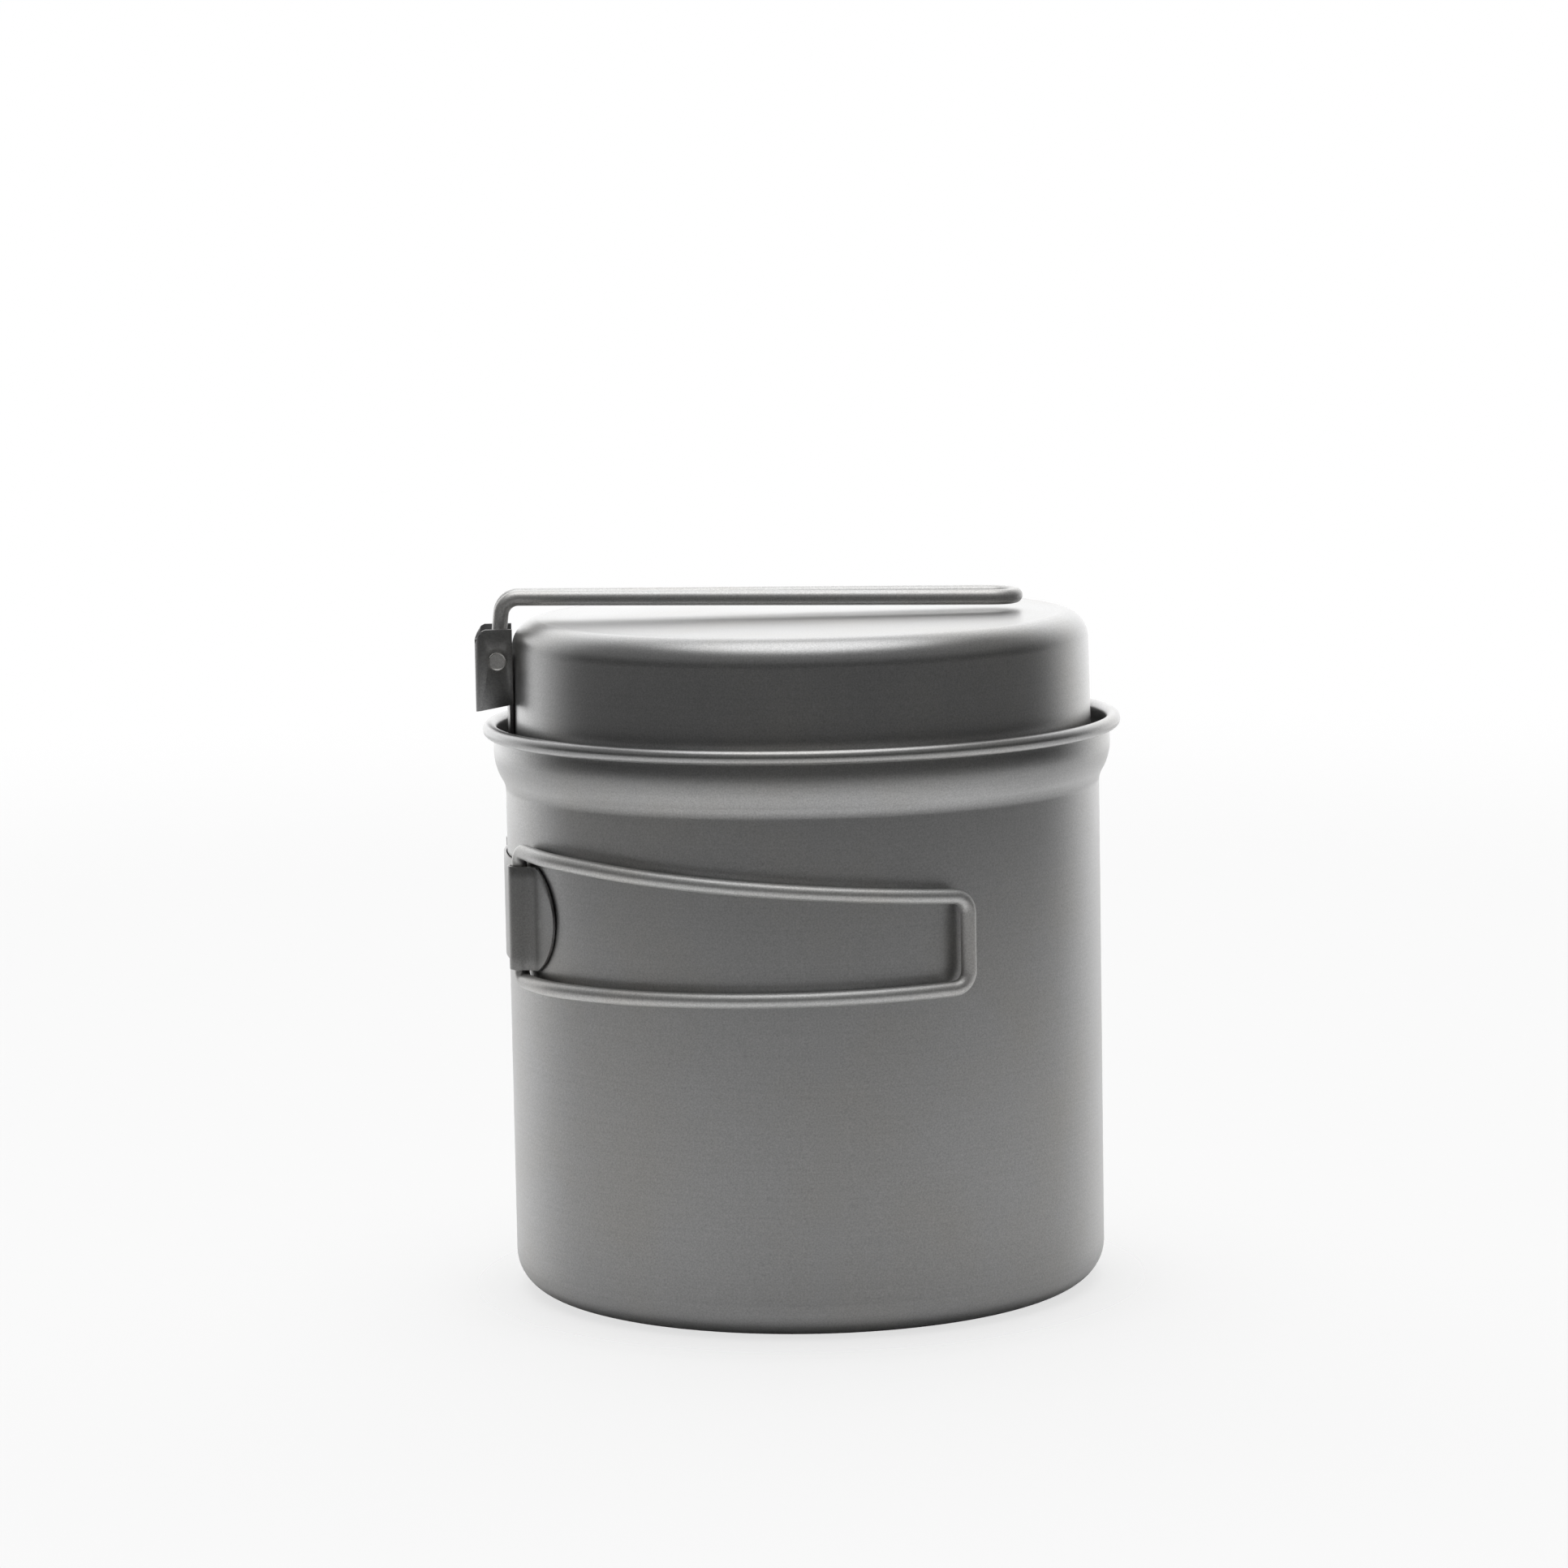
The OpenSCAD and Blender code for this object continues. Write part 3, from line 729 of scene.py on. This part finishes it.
def floor():
    """A plain white floor that fades out into the white surround, so no view shows its edge."""
    bpy.ops.object.select_all(action="DESELECT")
    bpy.ops.mesh.primitive_circle_add(vertices=FLOOR_SIDES, radius=FLOOR_END + FLOOR_BACK, fill_type="NGON")
    piece = bpy.context.object
    piece.name = "floor"
    material = bpy.data.materials.new("white_floor")
    material.use_nodes = True
    tree = material.node_tree
    shader = tree.nodes["Principled BSDF"]
    shader.inputs["Base Color"].default_value = linear("#fafafa")
    shader.inputs["Roughness"].default_value = 1
    shader.inputs["Specular IOR Level"].default_value = 0
    where = add(tree, "ShaderNodeTexCoord").outputs["Object"]
    reach = add(tree, "ShaderNodeVectorMath", {0: where}, operation="LENGTH").outputs["Value"]
    body = add(tree, "ShaderNodeMapRange",
               {"Value": reach, "From Min": CONTACT_FROM, "From Max": CONTACT_TO,
                "To Min": 1.0, "To Max": FLOOR_BODY}, interpolation_type="SMOOTHSTEP")
    far = add(tree, "ShaderNodeVectorMath", {0: where, 1: (0, FLOOR_BACK, 0)}, operation="DISTANCE")
    fade = add(tree, "ShaderNodeMapRange",
               {"Value": far.outputs["Value"], "From Min": FLOOR_FADE, "From Max": FLOOR_END,
                "To Min": 1.0, "To Max": 0.0}, interpolation_type="SMOOTHSTEP")
    seen = add(tree, "ShaderNodeLightPath").outputs["Is Camera Ray"]
    pale = add(tree, "ShaderNodeMapRange", {"Value": seen, "To Min": 1.0, "To Max": FLOOR_SEEN})
    solid = add(tree, "ShaderNodeMath", {0: body.outputs["Result"], 1: fade.outputs["Result"]},
                operation="MULTIPLY")
    cover = add(tree, "ShaderNodeMath", {0: solid.outputs["Value"], 1: pale.outputs["Result"]},
                operation="MULTIPLY")
    tree.links.new(cover.outputs["Value"], shader.inputs["Alpha"])
    piece.data.materials.append(material)


def studio():
    """The light of a white room, which is itself seen as plain white."""
    world = bpy.data.worlds.new("studio")
    bpy.context.scene.world = world
    world.use_nodes = True
    tree = world.node_tree
    direction = add(tree, "ShaderNodeTexCoord").outputs["Generated"]
    parts = add(tree, "ShaderNodeSeparateXYZ", {"Vector": direction})
    total = 0
    for axis, start, full, before, after in ROOM:
        light = add(tree, "ShaderNodeMapRange",
                    {"Value": parts.outputs[axis], "From Min": start, "From Max": full,
                     "To Min": before, "To Max": after}, interpolation_type="SMOOTHSTEP")
        total = add(tree, "ShaderNodeMath", {0: total, 1: light.outputs["Result"]},
                    operation="ADD").outputs["Value"]
    seen = add(tree, "ShaderNodeLightPath").outputs["Is Camera Ray"]
    shown = add(tree, "ShaderNodeMix", {0: seen, 2: total, 3: 1.0}, data_type="FLOAT").outputs[0]
    background = tree.nodes["Background"]
    background.inputs["Color"].default_value = (1, 1, 1, 1)
    tree.links.new(shown, background.inputs["Strength"])


def camera():
    """Looks down a little on the pot's front, swung slightly towards the brackets."""
    data = bpy.data.cameras.new("camera")
    data.lens = LENS
    data.sensor_width = SENSOR
    eye = bpy.data.objects.new("camera", data)
    bpy.context.collection.objects.link(eye)
    back = Vector((-math.cos(CAMERA_DOWN) * math.sin(CAMERA_SWING),
                   -math.cos(CAMERA_DOWN) * math.cos(CAMERA_SWING), math.sin(CAMERA_DOWN)))
    eye.location = CAMERA_AIM + back * CAMERA_FAR
    turn = back.to_track_quat("Z", "Y").to_matrix()
    eye.rotation_euler = (turn @ Matrix.Rotation(CAMERA_ROLL, 3, "Z")).to_euler()
    bpy.context.scene.camera = eye


# ---- the set --------------------------------------------------------------------------------

def fitted(piece, material, body, node):
    """Gives a finished piece its metal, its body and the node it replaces."""
    piece.data.materials.clear()
    piece.data.materials.append(material)
    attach(piece, body)
    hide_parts(node)


# The shells have a soft sheen, and the roller's rings still show a little
shell_metal = blasted_titanium("spun_titanium", "#adadad", "#aeadab", 0.34, rings=0.02)
# The wire is rougher, so it is duller; its lighter tone is painted light that brightens its highlights
wire_metal_painted_light = blasted_titanium("titanium_wire", "#cacac9", "#cbc9c6", 0.48)
# The folded sheet's darker tone is painted shade; it has a weld mark on each wing
bracket_metal_painted_shade = blasted_titanium("folded_titanium", "#969696", "#979694", 0.38, welded=True)

fitted(pot_shell(), shell_metal, "pot", "pot_body")
fitted(pot_bracket(), bracket_metal_painted_shade, "pot", "pot_handle_bracket")
fitted(pot_handle("front_wire_handle", -1), wire_metal_painted_light, "front_handle", "front_handle")
fitted(pot_handle("rear_wire_handle", 1), wire_metal_painted_light, "rear_handle", "rear_handle")
fitted(pan_shell(), shell_metal, "pan", "pan_body")
fitted(pan_bracket(), bracket_metal_painted_shade, "pan", "pan_handle_bracket")
fitted(pan_handle(), wire_metal_painted_light, "pan_handle", "pan_handle")

floor()
studio()
camera()
bpy.context.scene.view_settings.view_transform = "Standard"
